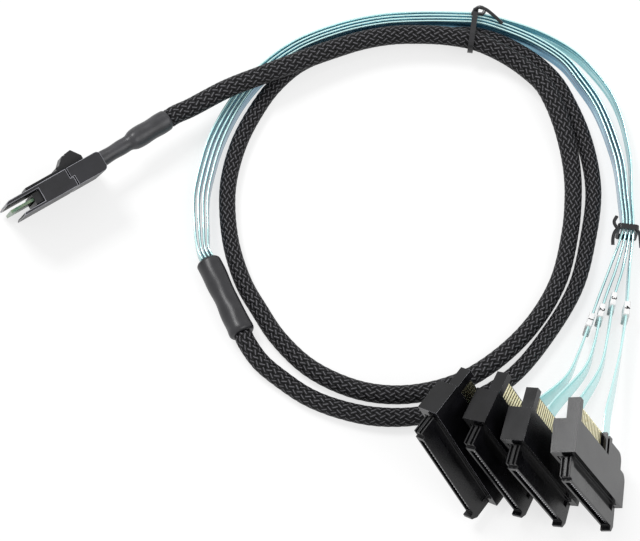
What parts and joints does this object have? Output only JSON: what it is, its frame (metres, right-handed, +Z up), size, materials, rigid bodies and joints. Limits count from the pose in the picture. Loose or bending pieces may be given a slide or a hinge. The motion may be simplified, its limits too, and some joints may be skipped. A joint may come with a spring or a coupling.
{
  "type": "mini sas breakout cable",
  "caption": "Breakout cable: a latching host plug, a braided sleeve laid in a loop, and flat foil ribbons that fan out to drive receptacles with power tongues.",
  "frame": {"origin": "middle of the box round the host plug and the drive receptacles, on the surface that the cable lies on", "axes": "+Z up from that surface, +X from the host plug towards the drive receptacles, +Y towards the top of the loop"},
  "size_m": [0.1951, 0.1737, 0.0421],
  "materials": {
    "grey_plastic": "satin moulded",
    "black_plastic": "satin moulded",
    "circuit_board": "solder resist",
    "contact_steel": "tinned",
    "gold_plate": "gold plated",
    "shrink_tube": "satin",
    "braid": "braided monofilament",
    "foil_jacket": "clear blue over foil",
    "label_film": "matte",
    "tie_plastic": "satin"
  },
  "bodies": {
    "cable": {"host_front_shell": "grey_plastic", "host_rear_shell": "grey_plastic", "host_paddle_card": "circuit_board", "host_card_holder": "black_plastic", "cable_boot": "shrink_tube", "braided_sleeve": "braid", "breakout_shrink_tube": "shrink_tube", "wire_tie_top": "tie_plastic", "wire_tie_right": "tie_plastic", "drive_1_housing": "black_plastic", "drive_1_receptacle": "black_plastic", "drive_1_contact_comb": "contact_steel", "drive_1_power_tongue": "black_plastic", "drive_1_power_pins": "gold_plate", "drive_1_board": "circuit_board", "drive_1_ribbon_relief": "shrink_tube", "ribbon_1": "foil_jacket", "label_1": "label_film", "drive_2_housing": "black_plastic", "drive_2_receptacle": "black_plastic", "drive_2_contact_comb": "contact_steel", "drive_2_power_tongue": "black_plastic", "drive_2_power_pins": "gold_plate", "drive_2_board": "circuit_board", "drive_2_ribbon_relief": "shrink_tube", "ribbon_2": "foil_jacket", "label_2": "label_film", "drive_3_housing": "black_plastic", "drive_3_receptacle": "black_plastic", "drive_3_contact_comb": "contact_steel", "drive_3_power_tongue": "black_plastic", "drive_3_power_pins": "gold_plate", "drive_3_board": "circuit_board", "drive_3_ribbon_relief": "shrink_tube", "ribbon_3": "foil_jacket", "label_3": "label_film", "drive_4_housing": "black_plastic", "drive_4_receptacle": "black_plastic", "drive_4_contact_comb": "contact_steel", "drive_4_power_tongue": "black_plastic", "drive_4_power_pins": "gold_plate", "drive_4_board": "circuit_board", "drive_4_ribbon_relief": "shrink_tube", "ribbon_4": "foil_jacket", "label_4": "label_film"},
    "latch": {"host_latch": "black_plastic"}
  },
  "joints": [
    {"name": "latch_press", "type": "hinge", "parent": "cable", "child": "latch", "pos_m": [-0.0835, 0.0444, 0.01316], "axis": [0.2333, -0.3524, 0.9063], "range_deg": [-4, 0], "stiffness_Nm_per_rad": 0.3}
  ]
}
